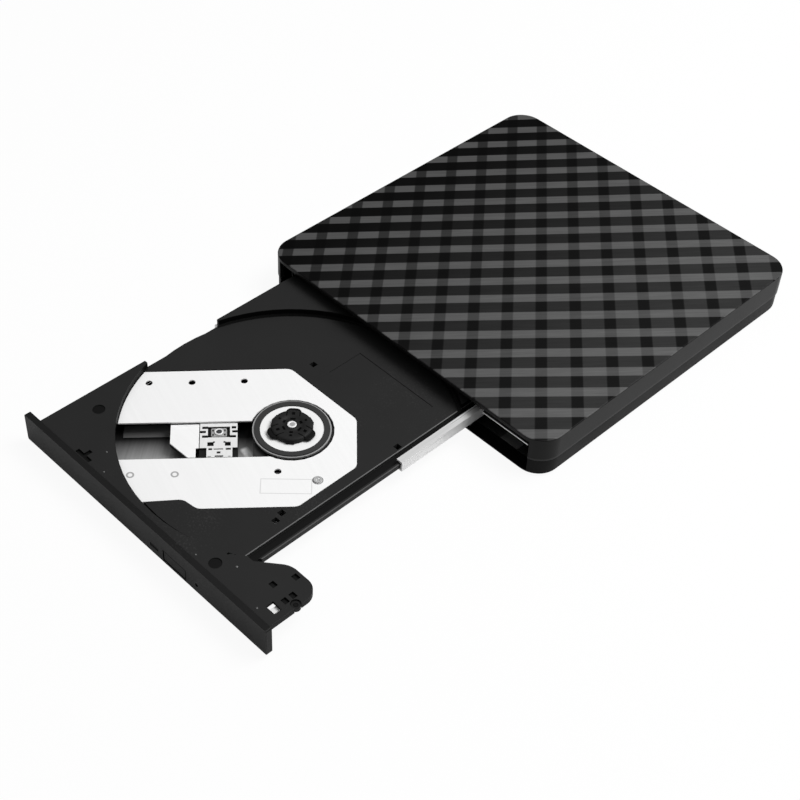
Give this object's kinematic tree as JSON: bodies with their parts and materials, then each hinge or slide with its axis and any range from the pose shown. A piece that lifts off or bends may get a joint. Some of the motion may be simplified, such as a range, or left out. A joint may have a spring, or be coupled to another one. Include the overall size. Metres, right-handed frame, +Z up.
{
  "type": "external dvd drive",
  "caption": "Slim external DVD drive with its tray pulled out: flat square housing, offset disc tray with spindle hub and laser pickup, and telescoping rails.",
  "frame": {"origin": "bottom centre of the open drive's bounding box, on the surface it stands on", "axes": "+Z up; -Y the way the tray comes out; +X to the right as seen from the bezel"},
  "size_m": [0.144, 0.2662, 0.0182],
  "materials": {
    "lid_plastic": "smooth dark lid with a faint crossed band pattern",
    "shell_plastic": "fine-grained dark housing plastic",
    "tray_plastic": "matt black moulding",
    "dark_plastic": "black mechanism plastic",
    "rubber": "black rubber",
    "steel": "bright zinc-plated sheet",
    "white_plate": "pale satin plate",
    "board_green": "green circuit board",
    "brass_tone": "turned brass and wound copper",
    "lens_glass": "clear polished lens",
    "ribbon_grey": "flat flexible ribbon"
  },
  "bodies": {
    "housing": {"top_shell": "lid_plastic", "bottom_shell": "shell_plastic", "foot_front_left": "rubber", "foot_front_right": "rubber", "foot_rear_left": "rubber", "foot_rear_right": "rubber", "shell_screw_front_left": "steel", "shell_screw_front_right": "steel", "shell_screw_rear_left": "steel", "shell_screw_rear_right": "steel", "adapter_board": "board_green", "usb_socket": "steel", "sata_plug": "dark_plastic", "chassis_pan": "steel", "chassis_cover": "steel", "cover_screw_left": "steel", "cover_screw_middle": "steel", "cover_screw_right": "steel", "main_board": "board_green", "sata_socket": "dark_plastic", "flex_connector": "dark_plastic", "flex_cable": "ribbon_grey", "right_rail_guide": "dark_plastic", "left_rail_guide": "dark_plastic"},
    "right_rail_body": {"right_rail": "steel"},
    "left_rail_body": {"left_rail": "steel"},
    "tray": {"tray_body": "tray_plastic", "bezel": "tray_plastic", "lamp_lens": "lens_glass", "under_plate": "steel", "wing_board": "board_green", "latch_solenoid": "brass_tone", "cover_plate": "white_plate", "plate_screw": "steel", "traverse_frame": "steel", "rubber_damper_1": "rubber", "rubber_damper_2": "rubber", "rubber_damper_3": "rubber", "main_rod": "steel", "side_rod": "steel", "sled_motor": "steel", "spindle_motor": "steel", "pickup_ribbon": "ribbon_grey"},
    "screw_body": {"lead_screw": "brass_tone"},
    "pickup": {"pickup_sled": "steel", "pickup_cover": "white_plate", "actuator_frame": "steel"},
    "lens_unit": {"lens_holder": "dark_plastic", "objective_lens": "lens_glass"},
    "turning_hub": {"turntable": "steel", "turntable_ring": "rubber", "spindle_hub": "dark_plastic", "spindle_shaft": "steel"},
    "claw_body_1": {"hub_claw_1": "dark_plastic"},
    "claw_body_2": {"hub_claw_2": "dark_plastic"},
    "claw_body_3": {"hub_claw_3": "dark_plastic"},
    "button": {"eject_button": "tray_plastic"},
    "latch": {"latch_hook": "steel"},
    "roller": {"guide_roller": "dark_plastic"}
  },
  "joints": [
    {"name": "tray_slide", "type": "slide", "parent": "housing", "child": "tray", "axis": [0, 1, 0], "range_m": [0, 0.118]},
    {"name": "right_rail_slide", "type": "slide", "parent": "housing", "child": "right_rail_body", "axis": [0, 1, 0], "range_m": [0, 0.059]},
    {"name": "left_rail_slide", "type": "slide", "parent": "housing", "child": "left_rail_body", "axis": [0, 1, 0], "range_m": [0, 0.059]},
    {"name": "pickup_slide", "type": "slide", "parent": "tray", "child": "pickup", "axis": [-0.6494, -0.7604, 0], "range_m": [-0.002, 0.032]},
    {"name": "lead_screw_turn", "type": "hinge", "parent": "tray", "child": "screw_body", "pos_m": [0.01636, -0.07942, 0.0062], "axis": [-0.6494, -0.7604, 0], "range_deg": [-241, 3841]},
    {"name": "lens_focus", "type": "slide", "parent": "pickup", "child": "lens_unit", "axis": [0, 0, 1], "range_m": [-0.0003, 0.0003], "stiffness_N_per_m": 30},
    {"name": "hub_spin", "type": "hinge", "parent": "tray", "child": "turning_hub", "pos_m": [0.001, -0.0663, 0.01], "axis": [0, 0, 1], "continuous": true},
    {"name": "button_press", "type": "slide", "parent": "tray", "child": "button", "axis": [0, 1, 0], "range_m": [0, 0.0006], "stiffness_N_per_m": 800},
    {"name": "latch_turn", "type": "hinge", "parent": "tray", "child": "latch", "pos_m": [0.0575, -0.1263, 0.0106], "axis": [0, 0, 1], "range_deg": [0, 15], "stiffness_Nm_per_rad": 0.004},
    {"name": "roller_spin", "type": "hinge", "parent": "tray", "child": "roller", "pos_m": [0.061, -0.1182, 0.011], "axis": [0, 0, 1], "continuous": true},
    {"name": "claw_press_1", "type": "slide", "parent": "turning_hub", "child": "claw_body_1", "axis": [-0.9744, -0.225, 0], "range_m": [0, 0.0007], "stiffness_N_per_m": 600},
    {"name": "claw_press_2", "type": "slide", "parent": "turning_hub", "child": "claw_body_2", "axis": [0.682, -0.7314, 0], "range_m": [0, 0.0007], "stiffness_N_per_m": 600},
    {"name": "claw_press_3", "type": "slide", "parent": "turning_hub", "child": "claw_body_3", "axis": [0.2924, 0.9563, 0], "range_m": [0, 0.0007], "stiffness_N_per_m": 600}
  ],
  "couplings": [
    {"joint": "right_rail_slide", "follows": "tray_slide", "ratio": 0.5},
    {"joint": "left_rail_slide", "follows": "tray_slide", "ratio": 0.5},
    {"joint": "lead_screw_turn", "follows": "pickup_slide", "rad_per_m": 2094.4}
  ]
}
